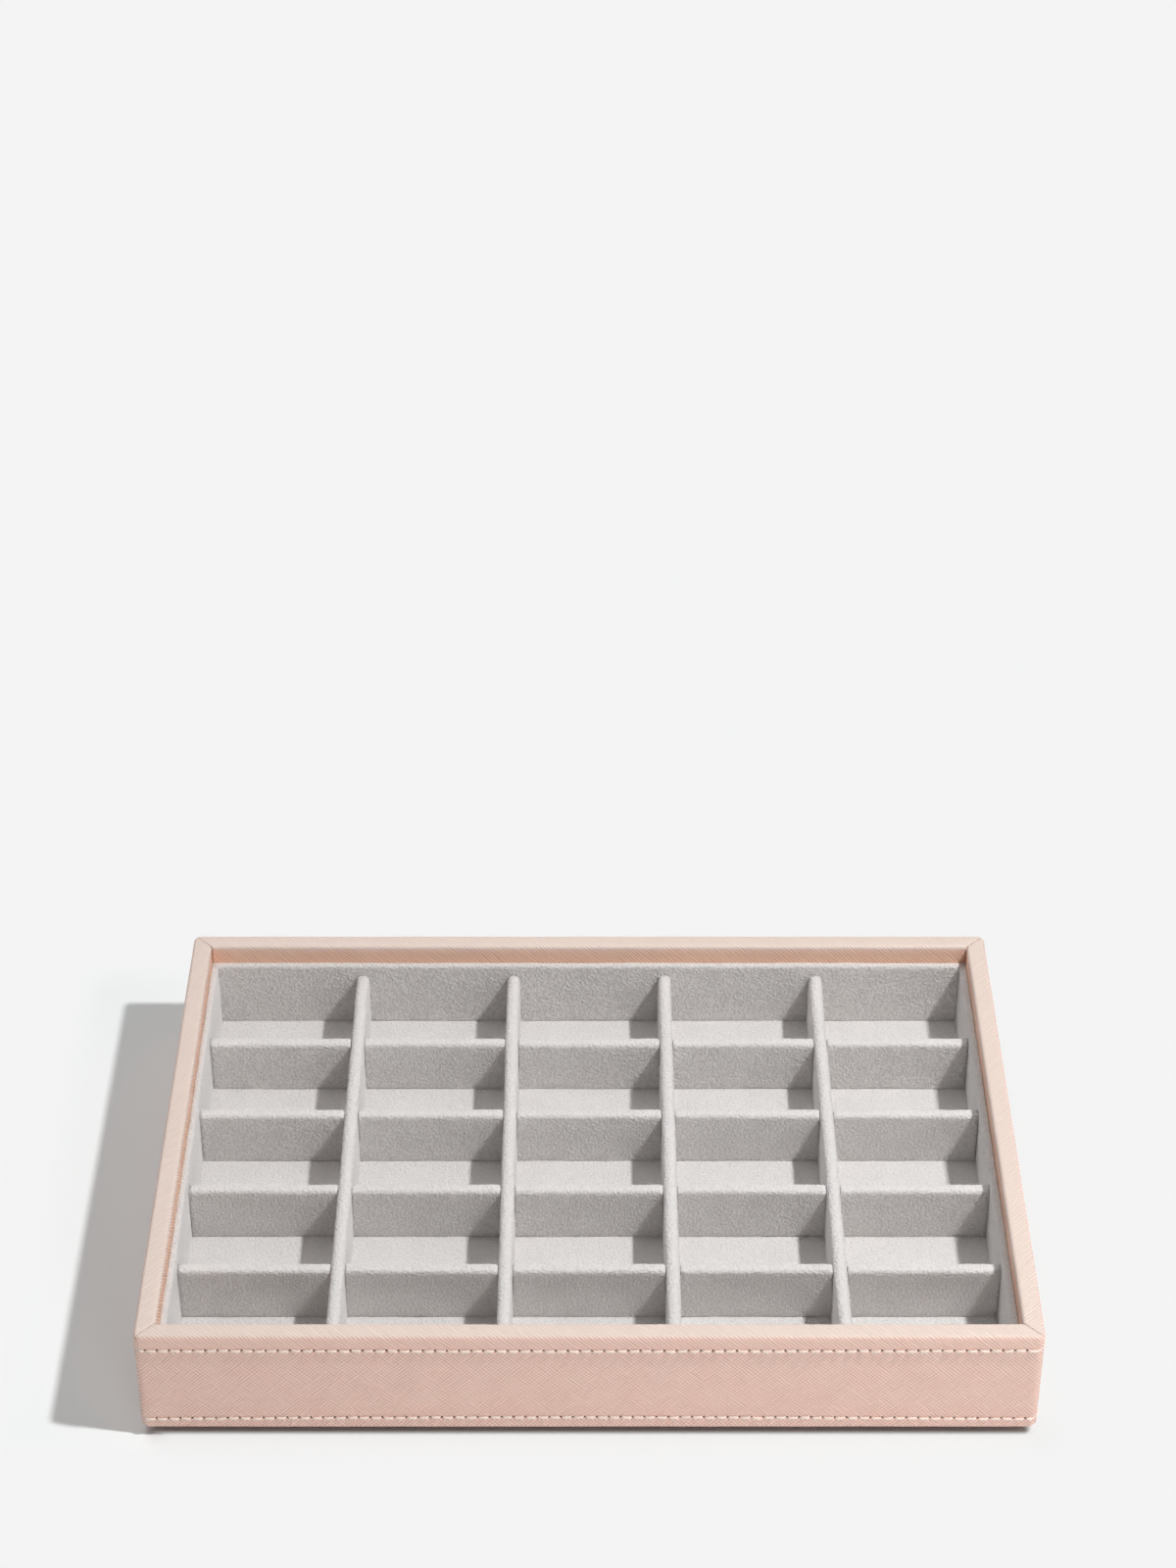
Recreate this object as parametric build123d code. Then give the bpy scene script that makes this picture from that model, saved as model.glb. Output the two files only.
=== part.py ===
from build123d import *
import os

# Stackable jewelry tray: an open shallow box of thin boards, wrapped in grained leather that is
# turned over the rim, mitred at the corners and sewn with two rows of stitches on every side.
# Inside it has a velvet floor, velvet linings that stop short of the rim, and velvet-covered card
# dividers, half-lapped like an egg crate.  An inset plinth under the base drops into the rim of the
# tray below.  Millimetres.  X runs to the right, Y to the back and Z up, and the origin lies on the
# table under the tray's centre.

# The tray as a whole
tray_width = 250.0            # outside, left to right
tray_depth = 180.0            # outside, front to back
wall_height = 34.5            # wrapped wall, from its lower edge to the rim
columns = 5                   # compartments from left to right
rows = 5                      # compartments from front to back

# Walls and their leather
wall_board_thickness = 4.0
leather_thickness = 0.9
corner_radius = 2.2           # upright outer corners
rim_radius = 1.6              # both edges of the rim
hem_radius = 1.2              # lower outer edge
hem_width = 10.0              # leather turned under the base, from the outer face
lip_reveal = 6.3              # leather that shows inside, above the linings

# Base, plinth and floor
base_board_thickness = 3.5
plinth_board_thickness = 2.0
felt_thickness = 1.0
plinth_corner_radius = 2.0
nest_clearance = 1.0          # between the plinth and the rim of the tray below, each side
floor_card_thickness = 1.6
floor_velvet_thickness = 0.9

# Linings and dividers
lining_card_thickness = 1.2
velvet_thickness = 0.8
lining_edge_radius = 1.2
divider_core_thickness = 2.4
long_divider_height = 18.6    # front to back, above the floor
cross_divider_drop = 0.9      # how far the cross dividers stop below the long ones
long_edge_radius = 1.9
cross_edge_radius = 1.3
slot_clearance = 0.1          # each side of a half-lap slot
divider_end_clearance = 0.1   # between a divider's end and the lining

# Stitching
stitch_length = 2.7
stitch_pitch = 3.34
thread_width = 0.65
thread_proud = 0.4
stitch_slant = 4.0            # degrees off the row
upper_row_drop = 5.2          # below the rim
lower_row_rise = 3.7          # above the wall's lower edge
row_end_margin = 0.3          # between a row's last stitch and the rounding of the corner

# Heights of the layers, from the table up
plinth_bottom = felt_thickness
base_bottom = plinth_bottom + plinth_board_thickness
board_bottom = base_bottom + leather_thickness
base_top = base_bottom + base_board_thickness
floor_card_top = base_top + floor_card_thickness
floor_top = floor_card_top + floor_velvet_thickness
rim_top = base_bottom + wall_height
board_top = rim_top - leather_thickness
lining_top = rim_top - lip_reveal

# Sizes in plan
wall_thickness = wall_board_thickness + 2 * leather_thickness
inner_width = tray_width - 2 * wall_thickness
inner_depth = tray_depth - 2 * wall_thickness
lining_thickness = lining_card_thickness + velvet_thickness
lined_width = inner_width - 2 * lining_thickness
lined_depth = inner_depth - 2 * lining_thickness
divider_thickness = divider_core_thickness + 2 * velvet_thickness
cross_divider_height = long_divider_height - cross_divider_drop
slot_width = divider_thickness + 2 * slot_clearance
half_lap_height = cross_divider_height / 2
column_pitch = (lined_width + divider_thickness) / columns
row_pitch = (lined_depth + divider_thickness) / rows
long_divider_places = [(i - (columns - 2) / 2) * column_pitch for i in range(columns - 1)]
cross_divider_places = [(i - (rows - 2) / 2) * row_pitch for i in range(rows - 1)]

# Every side is drawn as the front one and turned about Z: its length, its depth and its turn
side_turns = {
    "front": (tray_width, tray_depth, 0),
    "right": (tray_depth, tray_width, 90),
    "back": (tray_width, tray_depth, 180),
    "left": (tray_depth, tray_width, 270),
}
through = 1.0                 # how far a cutting block runs past what it cuts


def save(name, shape):
    """Write one piece to its own STEP file."""
    export_step(shape, f"parts/{name}.step")


def block(width, depth, low, high, radius=0.0):
    """Upright block on the tray's centre line, with its upright edges rounded."""
    outline = RectangleRounded(width, depth, radius) if radius > 0 else Rectangle(width, depth)
    return extrude(Pos(0, 0, low) * outline, amount=high - low)


def wall_frame(inset, low, high):
    """Ring of wall, set in from the tray's faces by the given skin and rounded along the rim."""
    outer = block(tray_width - 2 * inset, tray_depth - 2 * inset, low, high, corner_radius - inset)
    outer = fillet(outer.edges().group_by(Axis.Z)[-1], rim_radius - inset)
    opening = block(inner_width + 2 * inset, inner_depth + 2 * inset, low - through, high + through)
    frame = outer - opening
    inner_rim = frame.faces().sort_by(Axis.Z)[-1].inner_wires()[0].edges()
    return fillet(inner_rim, rim_radius - inset)


def mitred_side(shape, side):
    """The part of a ring that belongs to one side, cut at 45 degrees at both corners."""
    length, depth, turn = side_turns[side]
    reach = max(hem_width, wall_thickness) + through
    half, out = length / 2, depth / 2
    corners = [(-half, -out), (half, -out), (half - reach, reach - out), (reach - half, reach - out)]
    wedge = extrude(Pos(0, 0, base_bottom - through) * Polygon(*corners, align=None),
                    amount=wall_height + 2 * through)
    return shape & (Rot(0, 0, turn) * wedge)


# Base and plinth
def base_board():
    """Board between the walls, rebated below for the leather that is turned under it."""
    span = 2 * leather_thickness
    plate = block(inner_width + span, inner_depth + span, board_bottom, base_top)
    centre = block(tray_width - 2 * hem_width, tray_depth - 2 * hem_width, base_bottom, board_bottom)
    return plate + centre


def plinth(low, high):
    """One layer of the inset foot, which fits inside the rim of the tray below."""
    inset = 2 * nest_clearance
    return block(inner_width - inset, inner_depth - inset, low, high, plinth_corner_radius)


# Leather
def leather_wrap():
    """Leather round all four walls: outer face, rim, inner face and the hem under the base."""
    skin = wall_frame(0.0, base_bottom, rim_top)
    lower_edges = skin.faces().sort_by(Axis.Z)[0].outer_wire().edges()
    skin = fillet(lower_edges, hem_radius)
    hem = block(inner_width, inner_depth, base_bottom, board_bottom)
    hem -= block(tray_width - 2 * hem_width, tray_depth - 2 * hem_width,
                 base_bottom - through, board_bottom + through)
    span = 2 * leather_thickness
    core = block(inner_width + span, inner_depth + span, board_bottom, base_top)
    return skin + hem - wall_frame(leather_thickness, board_bottom, board_top) - core


# Stitching
def stitch_row(side, height):
    """One row of separate stitches, lying on the leather's outer face."""
    length, depth, turn = side_turns[side]
    room = length - 2 * (corner_radius + row_end_margin) - stitch_length
    count = int(room / stitch_pitch) + 1
    stitch = extrude(Plane.XZ * SlotOverall(stitch_length, thread_width), amount=thread_proud)
    stitch = Rot(0, stitch_slant, 0) * stitch
    first = -(count - 1) * stitch_pitch / 2
    places = [Pos(first + i * stitch_pitch, -depth / 2, height) for i in range(count)]
    return Compound([Rot(0, 0, turn) * place * stitch for place in places])


# Linings
def lining(side):
    """Lining card and the velvet over its face and top edge, standing on the floor."""
    length, depth, turn = side_turns[side]
    run = length - 2 * wall_thickness
    if side in ("left", "right"):
        run -= 2 * lining_thickness
    wall_face = wall_thickness - depth / 2
    height = lining_top - floor_top
    card_height = height - velvet_thickness
    whole = Pos(0, wall_face + lining_thickness / 2, floor_top + height / 2)
    whole *= Box(run, lining_thickness, height)
    top_edge = whole.edges().filter_by(Axis.X).group_by(Axis.Z)[-1].sort_by(Axis.Y)[-1]
    whole = fillet(top_edge, lining_edge_radius)
    card = Pos(0, wall_face + lining_card_thickness / 2, floor_top + card_height / 2)
    card *= Box(run, lining_card_thickness, card_height)
    to_side = Rot(0, 0, turn)
    return to_side * card, to_side * (whole - card)


# Dividers
def upright_slab(length, thickness, height, edge_radius):
    """Slab along X that stands on the floor, with its two top edges rounded."""
    slab = Pos(0, 0, floor_top + height / 2) * Box(length, thickness, height)
    return fillet(slab.edges().filter_by(Axis.X).group_by(Axis.Z)[-1], edge_radius)


def slots(places, low, high):
    """Cutting blocks for the half-lap slots of a divider along X."""
    cutter = Pos(0, 0, (low + high) / 2) * Box(slot_width, divider_thickness + 2 * through, high - low)
    return [Pos(place, 0, 0) * cutter for place in places]


def divider(length, height, edge_radius, cuts):
    """Card core and velvet sleeve of a divider along X, both slotted."""
    whole = upright_slab(length - 2 * divider_end_clearance, divider_thickness, height, edge_radius)
    core = upright_slab(length - 2 * divider_end_clearance, divider_core_thickness,
                        height - velvet_thickness, edge_radius - velvet_thickness)
    return core - cuts, whole - core - cuts


os.makedirs("parts", exist_ok=True)

boards = wall_frame(leather_thickness, board_bottom, board_top)
leather = leather_wrap()
for side in side_turns:
    save(f"{side}_wall_board", mitred_side(boards, side))
    save(f"{side}_leather", mitred_side(leather, side))
    save(f"{side}_upper_stitching", stitch_row(side, rim_top - upper_row_drop))
    save(f"{side}_lower_stitching", stitch_row(side, base_bottom + lower_row_rise))
    card, velvet = lining(side)
    save(f"{side}_lining_card", card)
    save(f"{side}_lining_velvet", velvet)

save("base_board", base_board())
save("plinth_board", plinth(plinth_bottom, base_bottom))
save("base_felt", plinth(0.0, plinth_bottom))
save("floor_card", block(inner_width, inner_depth, base_top, floor_card_top))
save("floor_velvet", block(inner_width, inner_depth, floor_card_top, floor_top))

lap_top = floor_top + half_lap_height
long_cuts = slots(cross_divider_places, floor_top - through, lap_top)
cross_cuts = slots(long_divider_places, lap_top, floor_top + long_divider_height + through)
long_core, long_sleeve = divider(lined_depth, long_divider_height, long_edge_radius, long_cuts)
cross_core, cross_sleeve = divider(lined_width, cross_divider_height, cross_edge_radius, cross_cuts)
for number, place in enumerate(long_divider_places, start=1):
    to_place = Pos(place, 0, 0) * Rot(0, 0, 90)
    save(f"long_divider_{number}_card", to_place * long_core)
    save(f"long_divider_{number}_velvet", to_place * long_sleeve)
for number, place in enumerate(cross_divider_places, start=1):
    save(f"cross_divider_{number}_card", Pos(0, place, 0) * cross_core)
    save(f"cross_divider_{number}_velvet", Pos(0, place, 0) * cross_sleeve)
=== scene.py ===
# %% [markdown]
# # A stackable jewelry tray
#
# The real tray is a shallow box of thin boards. Grained leather is glued round every wall, folded
# over the rim and under the base, and two rows of stitches run round the outside. Inside there is
# velvet everywhere: on the floor, on lining cards along the walls, and folded over the dividers.
#
# The boards were measured and built first, so this lesson only has to dress them. Each piece of
# leather, thread and cloth is modelled at its real size in the same place as the plain solid that
# it stands for.

# %% Load the measured tray
import math
import random

import bmesh
import bpy
from mathutils import Matrix, Vector, noise


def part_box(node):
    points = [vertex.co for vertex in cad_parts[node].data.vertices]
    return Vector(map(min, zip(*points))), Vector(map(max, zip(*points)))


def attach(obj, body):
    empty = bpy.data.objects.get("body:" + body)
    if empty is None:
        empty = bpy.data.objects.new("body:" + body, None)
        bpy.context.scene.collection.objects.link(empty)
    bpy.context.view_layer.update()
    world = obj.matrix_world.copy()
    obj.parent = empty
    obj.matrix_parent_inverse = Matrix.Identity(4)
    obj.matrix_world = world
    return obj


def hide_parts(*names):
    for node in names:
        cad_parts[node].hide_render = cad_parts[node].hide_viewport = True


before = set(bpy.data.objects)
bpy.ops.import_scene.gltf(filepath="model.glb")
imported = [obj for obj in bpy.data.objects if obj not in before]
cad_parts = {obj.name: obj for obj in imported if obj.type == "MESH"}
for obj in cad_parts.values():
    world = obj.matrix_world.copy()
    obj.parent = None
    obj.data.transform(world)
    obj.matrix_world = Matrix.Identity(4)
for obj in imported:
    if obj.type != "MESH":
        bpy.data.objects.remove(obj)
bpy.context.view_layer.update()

MM = 0.001
print("nodes in the frame:", len(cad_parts))

# %% [markdown]
# ## Sizes
#
# Blender works in metres here. Lengths that the measured solids already hold are read from them,
# so leather and velvet always fit the boards below. Only what a box can't tell, such as the
# roundness of an edge, is written out.

# %% Sizes of the tray, read from its solids
front_low, front_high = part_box("front_leather")
board_low, board_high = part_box("front_wall_board")
half_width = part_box("right_leather")[1].x
half_depth = -front_low.y
base_bottom = front_low.z
rim_top = front_high.z
base_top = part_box("base_board")[1].z
hem_width = front_high.y - front_low.y
hide_thickness = board_low.y - front_low.y
wall_thickness = board_high.y - board_low.y + 2 * hide_thickness
floor_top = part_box("floor_velvet")[1].z
velvet_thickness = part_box("front_lining_velvet")[1].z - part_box("front_lining_card")[1].z
print(f"tray {2 * half_width / MM:.1f} x {2 * half_depth / MM:.1f} mm, rim at {rim_top / MM:.1f} mm")

# %% Roundness of the edges
corner_radius = 2.2 * MM
rim_radius = 1.1 * MM
hem_radius = 0.5 * MM
lining_edge_radius = 1.2 * MM
long_edge_radius = 1.9 * MM
cross_edge_radius = 1.3 * MM
foot_tuck = 0.35 * MM          # cloth turned in along the floor
hair = 0.01 * MM               # places closer than this count as the same
print("rim rounded to", round(rim_radius / MM, 1), "mm")

# %% Each side is made as the front one and turned about Z
quarter = math.pi / 2
sides = {
    "front": (half_width, half_depth, 0),
    "right": (half_depth, half_width, 1),
    "back": (half_width, half_depth, 2),
    "left": (half_depth, half_width, 3),
}
corner_arc = corner_radius * quarter / 2   # from a side's flat face to its mitre


def perimeter_start(side):
    """How far round the outside the middle of a side lies from the middle of the front."""
    distance = 0.0
    for name, (half, _, turns) in sides.items():
        if turns > 0:
            distance += half - corner_radius + corner_arc
        if name == side:
            break
        distance += half - corner_radius + corner_arc
    return distance


print({side: round(perimeter_start(side) / MM, 1) for side in sides}, "mm round the outside")

# %% [markdown]
# ## A pencil for profiles
#
# Leather and cloth are sheets that bend round edges, so each piece is drawn as its section first:
# a line made of straight runs and round bends. A run extrudes the last vertex, and a bend spins
# it about the middle of the fold. The cloth's good side is always on the pencil's left.
# Such a section could be typed in as a list of points, but then a change of one radius would
# mean working all of them out again.

# %% Draw a section by runs and bends
class Pencil:
    """Draws a section in the YZ plane. Heading 0 is to the back, 90 is up."""

    def __init__(self, y, z, heading):
        self.bm = bmesh.new()
        self.tip = self.bm.verts.new((0, y, z))
        self.heading = heading

    def direction(self, turned=0):
        angle = math.radians(self.heading + turned)
        return Vector((0, math.cos(angle), math.sin(angle)))

    def run(self, length, steps=1):
        """Straight on, in equal steps."""
        for _ in range(steps):
            made = bmesh.ops.extrude_vert_indiv(self.bm, verts=[self.tip])
            self.tip = made["verts"][0]
            step = self.direction() * (length / steps)
            bmesh.ops.translate(self.bm, vec=step, verts=[self.tip])

    def bend(self, radius, steps):
        """A quarter turn to the right."""
        centre = self.tip.co + self.direction(-90) * radius
        made = bmesh.ops.spin(self.bm, geom=[self.tip], cent=centre, axis=(1, 0, 0),
                              angle=-quarter, steps=steps)
        self.tip = [g for g in made["geom_last"] if isinstance(g, bmesh.types.BMVert)][0]
        self.heading -= 90

    def rise(self, height):
        """Straight up or down to a height."""
        self.run(abs(height - self.tip.co.z))

    def finish(self):
        """Note at each vertex how far along the section it lies, and hand over the line."""
        place = self.bm.verts.layers.float_vector.new("sheet_place")
        self.bm.verts.ensure_lookup_table()
        distance = 0.0
        for before, vertex in zip([self.bm.verts[0]] + self.bm.verts[:], self.bm.verts):
            distance += (vertex.co - before.co).length
            vertex[place] = (0, distance, 0)
        return self.bm


print("a pencil can run, bend and rise")


# %% Carry a section along the tray
def sweep(bm, stations):
    """Extrude the drawn section from station to station along X."""
    bmesh.ops.translate(bm, vec=(stations[0], 0, 0), verts=bm.verts[:])
    edges = bm.edges[:]
    for start, end in zip(stations, stations[1:]):
        made = bmesh.ops.extrude_edge_only(bm, edges=edges)["geom"]
        edges = [g for g in made if isinstance(g, bmesh.types.BMEdge)]
        verts = [g for g in made if isinstance(g, bmesh.types.BMVert)]
        bmesh.ops.translate(bm, vec=(end - start, 0, 0), verts=verts)
    place = bm.verts.layers.float_vector["sheet_place"]
    for vertex in bm.verts:
        vertex[place].x = vertex.co.x
    return bm


def evenly(start, end, spacing):
    """Stations from start to end, at about the given spacing."""
    count = max(1, round((end - start) / spacing))
    return [start + (end - start) * i / count for i in range(count + 1)]


def spaced(stations, least):
    """The stations in order, without those that crowd the one before."""
    kept = []
    for station in sorted(stations):
        if not kept or station - kept[-1] > least:
            kept.append(station)
    return kept


print("stations 2 apart:", evenly(0, 10, 2))


# %% Give a sheet its thickness, and turn it to its side
def thicken(bm, thickness, towards):
    """Make the sheet a closed layer: its good side faces towards, and it grows the other way."""
    facing = sum((f.normal * f.calc_area() for f in bm.faces), Vector())
    if facing.dot(Vector(towards)) < 0:
        bmesh.ops.reverse_faces(bm, faces=bm.faces[:])
    bm.normal_update()
    bmesh.ops.solidify(bm, geom=bm.faces[:], thickness=thickness)
    bmesh.ops.recalc_face_normals(bm, faces=bm.faces[:])


def turn(bm, quarters):
    """Turn what was drawn at the front to its own side."""
    bmesh.ops.rotate(bm, cent=(0, 0, 0), matrix=Matrix.Rotation(quarters * quarter, 3, "Z"),
                     verts=bm.verts[:])


def soften(bm, amount, size, seed):
    """Move every vertex a little, by a smooth random field with the given grain."""
    noise.seed_set(seed)       # without a seed the field would follow the clock
    for vertex in bm.verts:
        vertex.co += noise.noise_vector(vertex.co / size) * amount


print("leather is", round(hide_thickness / MM, 2), "mm thick")

# %% Hand a finished mesh over to the tray
made_faces = {}
covered = set()                # the solids that a piece stands for


def add_object(name, data):
    """Put a mesh, lamp or camera into the scene."""
    thing = bpy.data.objects.new(name, data)
    bpy.context.scene.collection.objects.link(thing)
    return thing


def piece(name, bm, finish, slot, *nodes):
    """Turn the bmesh into a shaded object that rides on the tray and stands for some solids."""
    mesh = bpy.data.meshes.new(name)
    bm.to_mesh(mesh)
    bm.free()
    mesh.shade_smooth()
    mesh.materials.append(finish)
    thing = add_object(name, mesh)
    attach(thing, "root")
    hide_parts(*nodes)
    covered.update(nodes)
    made_faces[name] = len(mesh.polygons)
    return thing


print("pieces can be handed over")

# %% [markdown]
# ## Shader maths in plain Python
#
# A pattern such as leather grain is a sum of waves and noise. Wiring that by hand takes dozens of
# Math nodes, so a small class wraps a socket and lets Python's own plus, minus and times add the
# nodes. Colours go through Mix nodes, because a Math node would turn them grey.

# %% A socket that can be added and multiplied
class Value:
    """An output socket in a node tree. Arithmetic on it adds Math nodes."""

    def __init__(self, wiring, socket):
        self.wiring = wiring
        self.socket = socket

    def math(self, operation, *others):
        return self.wiring.add("ShaderNodeMath", {"operation": operation}, [self, *others])

    def __add__(self, other):
        return self.math("ADD", other)

    def __sub__(self, other):
        return self.math("SUBTRACT", other)

    def __rsub__(self, other):
        return self.wiring.add("ShaderNodeMath", {"operation": "SUBTRACT"}, [other, self])

    def __mul__(self, other):
        return self.math("MULTIPLY", other)

    def __truediv__(self, other):
        return self.math("DIVIDE", other)

    def __rtruediv__(self, other):
        return self.wiring.add("ShaderNodeMath", {"operation": "DIVIDE"}, [other, self])

    __radd__ = __add__
    __rmul__ = __mul__


print("values can be added and multiplied")


# %% A node tree in the making
class Wiring:
    """A node tree, to which nodes are added one by one."""

    def __init__(self, tree):
        self.tree = tree

    def add(self, kind, settings=(), values=(), output=0):
        """Add any node: its settings first, then the values or links of its inputs."""
        node = self.tree.nodes.new(kind)
        for name, setting in dict(settings).items():
            setattr(node, name, setting)
        pairs = values.items() if isinstance(values, dict) else enumerate(values)
        for key, value in pairs:
            self.join(value, node.inputs[key])
        return Value(self, node.outputs[output])

    def join(self, value, socket):
        if isinstance(value, Value):
            self.tree.links.new(value.socket, socket)
        else:
            socket.default_value = value

    def place(self):
        """Where a point of the surface is, in the tray's own metres."""
        return self.add("ShaderNodeTexCoord", output="Object")

    def attribute(self, name):
        return self.add("ShaderNodeAttribute", {"attribute_name": name}, output="Vector")

    def split(self, vector):
        parts = self.add("ShaderNodeSeparateXYZ", values=[vector]).socket.node.outputs
        return [Value(self, part) for part in parts]


print("nodes can be added and joined")


# %% Patterns, colours and bumps
class Finish(Wiring):
    """A material with patterns. A Mix node's colour sockets are inputs 6 and 7 and output 2."""

    def __init__(self, name, **constants):
        self.material = bpy.data.materials.new(name)
        self.material.use_nodes = True
        super().__init__(self.material.node_tree)
        self.shader = self.tree.nodes["Principled BSDF"]
        for word, value in constants.items():
            socket = word.replace("_", " ").title().replace("Ior", "IOR")
            self.shader.inputs[socket].default_value = value

    def noise(self, place, size, detail=2.0, roughness=0.5):
        """Smooth noise from 0 to 1 with features of the given size."""
        return self.add("ShaderNodeTexNoise", values={
            "Vector": place, "Scale": 1 / size, "Detail": detail, "Roughness": roughness})

    def ramp(self, value, low, high):
        """0 below low, 1 above high, and a soft step between."""
        return self.add("ShaderNodeMapRange", {"interpolation_type": "SMOOTHSTEP"},
                        [value, low, high])

    def mix(self, share, first, second):
        """Blend two colours."""
        return self.add("ShaderNodeMix", {"data_type": "RGBA"}, {0: share, 6: first, 7: second},
                        output=2)

    def tint(self, share, colour, over):
        """Multiply a colour by another one."""
        return self.add("ShaderNodeMix", {"data_type": "RGBA", "blend_type": "MULTIPLY"},
                        {0: share, 6: colour, 7: over}, output=2)

    def bump(self, height, distance):
        """Raise the surface by up to the given distance."""
        normal = self.add("ShaderNodeBump", values={"Height": height, "Distance": distance})
        self.join(normal, self.shader.inputs["Normal"])

    def colour(self, value):
        self.join(value, self.shader.inputs["Base Color"])

    def roughness(self, value):
        self.join(value, self.shader.inputs["Roughness"])


print("patterns can be mixed and tinted")

# %% [markdown]
# ## Pink leather
#
# The leather is pressed with fine crossing diagonals, a little under a millimetre apart. In some
# patches both directions show, and in others one wins, and each line fades after a few
# millimetres. An image could hold this, but a pattern in nodes stays sharp from any distance. It
# follows the sheet itself, through an attribute that says how far round the tray and how far over
# the rim each point lies, so the grain runs unbroken over every fold, as it does on a real hide.
# Along the rim its colour is painted paler and less pink, a painted highlight for the shine of the
# lit top. Where it is folded, mostly the falling lines show, and inside the tray the lines are
# painted with more contrast and the tint is painted darker and warmer, as painted shade there.

# %% Leather finish
grain_spacing = 0.88 * MM      # from one pressed line to the next
grain_depth = 0.11 * MM
leather_pale = (1.000, 0.755, 0.655, 1)
leather_deep = (0.815, 0.505, 0.415, 1)
# painted highlight: the rim's top is coloured paler and less pink than the walls
rim_highlight_pale = (0.930, 0.775, 0.693, 1)
rim_highlight_deep = (0.808, 0.645, 0.567, 1)
# painted shade: the leather inside the tray is tinted darker and warmer
lip_shade_tint = (0.980, 0.915, 0.795, 1)
blush_tint = (1.000, 0.970, 0.975, 1)
needle_shade = (0.260, 0.090, 0.065, 1)
full_wave = 2 * math.pi
rim_start = hem_width + rim_top - base_bottom - rim_radius - hem_radius * (2 - quarter)
rim_end = rim_start + wall_thickness + 2 * rim_radius * (quarter - 1)


def leather_finish():
    hide = Finish("pink_leather", roughness=0.5, specular_ior_level=0.7)
    place = hide.attribute("sheet_place")
    along, over, pricked = hide.split(place)

    def lines(direction, seed):
        """Lines from 0 to 1 that fall to the right (1) or rise to the right (-1)."""
        across = (along + over * direction) * math.sqrt(0.5)
        down = (over - along * direction) * math.sqrt(0.5)
        strip = hide.add("ShaderNodeCombineXYZ", values=[across, down * 0.25, seed])
        wander = hide.noise(strip, 1.8 * MM, detail=1.0) * 0.9
        strength = hide.ramp(hide.noise(strip, 1.2 * MM, detail=0.0), 0.30, 0.62) * 0.5 + 0.5
        waves = ((across / grain_spacing + wander) * full_wave).math("SINE")
        return waves * strength * 0.5 + 0.5

    folded = hide.ramp(over, rim_start - 5.0 * MM, rim_start - 3.5 * MM)
    patches = hide.ramp(hide.noise(place, 6 * MM, detail=1.0), 0.38, 0.62) * (1.0 - folded)
    falling = lines(1, 0.0) * (1.0 - patches * 0.55)
    rising = lines(-1, 0.3) * (patches * 0.55 + 0.45) * (1.0 - folded * 0.7)
    dents = hide.noise(place, 0.45 * MM, detail=1.0)
    broad = hide.noise(place, 14 * MM, detail=3.0)
    height = falling + rising + dents * 0.3
    # painted shade: inside the tray the pressed lines get stronger contrast, as the shading of the
    # grain
    inside = hide.ramp(over, rim_end, rim_end + 2 * rim_radius)
    middle = 0.875 - folded * 0.15
    contrast = (height - middle) * (inside * 2.5 + folded * 0.5 + 1.0)
    tone = hide.ramp(contrast, -0.33, 0.33) * 0.85 + broad * 0.15
    # painted highlight: along the rim the paler rim colours take over
    rim_highlight = (hide.ramp(over, rim_start + 0.4 * MM, rim_start + rim_radius + 0.4 * MM)
                 * hide.ramp(over, rim_end + 0.5 * MM, rim_end - rim_radius + 0.5 * MM))
    face = hide.mix(tone, leather_deep, leather_pale)
    blush = hide.ramp(hide.noise(place, 9 * MM, detail=2.0), 0.35, 0.65)
    face = hide.tint(blush, face, blush_tint)
    # painted shade: darker, warmer tint on the leather inside the tray
    face = hide.tint(inside, face, lip_shade_tint)
    rim = hide.mix(tone, rim_highlight_deep, rim_highlight_pale)
    hide.colour(hide.mix(pricked, hide.mix(rim_highlight, face, rim), needle_shade))
    hide.roughness(0.56 - falling * 0.10)
    hide.bump(height, grain_depth)
    return hide.material


pink_leather = leather_finish()
print("finish:", pink_leather.name)

# %% [markdown]
# ## Leather covers
#
# Each wall has its own strip of leather. Its section starts under the base, turns up round the
# lower edge, climbs the outer face, folds over the rim and goes down inside. The two stitch rows
# pull it into shallow valleys. The section is extruded along the wall, with extra stations
# beside every needle hole, and the upright corners are rounded by pushing the outer layer in.

# %% Where the stitches and their holes are
stitch_pitch = 3.315 * MM
hole_width = 0.8 * MM
hole_height = 0.76 * MM
hole_depth = 0.6 * MM
valley_depth = 0.2 * MM
valley_reach = 1.3 * MM
row_heights = {"upper": rim_top - 5.2 * MM, "lower": base_bottom + 3.7 * MM}
row_shifts = {"upper": -0.9 * MM, "lower": 0.45 * MM}     # along the wall, off its middle
row_margin = 3.3 * MM          # least distance from a side's last hole to its end
stray_reach = 3.1 * MM         # above and below a row


def hole_places(side, row):
    """Places along a side of the needle holes of one row."""
    half = sides[side][0]
    count = int(2 * (half - row_margin) / stitch_pitch + 0.5)
    first = -count * stitch_pitch / 2 + row_shifts[row]
    return [first + i * stitch_pitch for i in range(count + 1)]


def valley(height):
    """How far the stitching pulls the leather in at a height of the outer face."""
    pulls = [max(0.0, 1 - abs(height - row) / valley_reach) for row in row_heights.values()]
    return valley_depth * max(pulls) ** 1.5


def stray(x, half, z):
    """How far a stitch row, and the leather beside it, strays upwards from a straight line."""
    share = min(1.0, abs(x) / half) ** 2
    rises = {"upper": (0.12 + 0.18 * share) * MM, "lower": (0.32 - 0.65 * share) * MM}
    strayed = 0.0
    for row, height in row_heights.items():
        strayed += rises[row] * max(0.0, 1 - abs(z - height) / stray_reach)
    return strayed


print("needle holes along the front:", len(hole_places("front", "upper")))


# %% Section of a leather cover
valley_steps = (0.7 * MM, 1.0 * MM, valley_reach)
between_rows = 4 * MM          # from a row to the plain part of the face
face_step = 3 * MM


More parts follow.
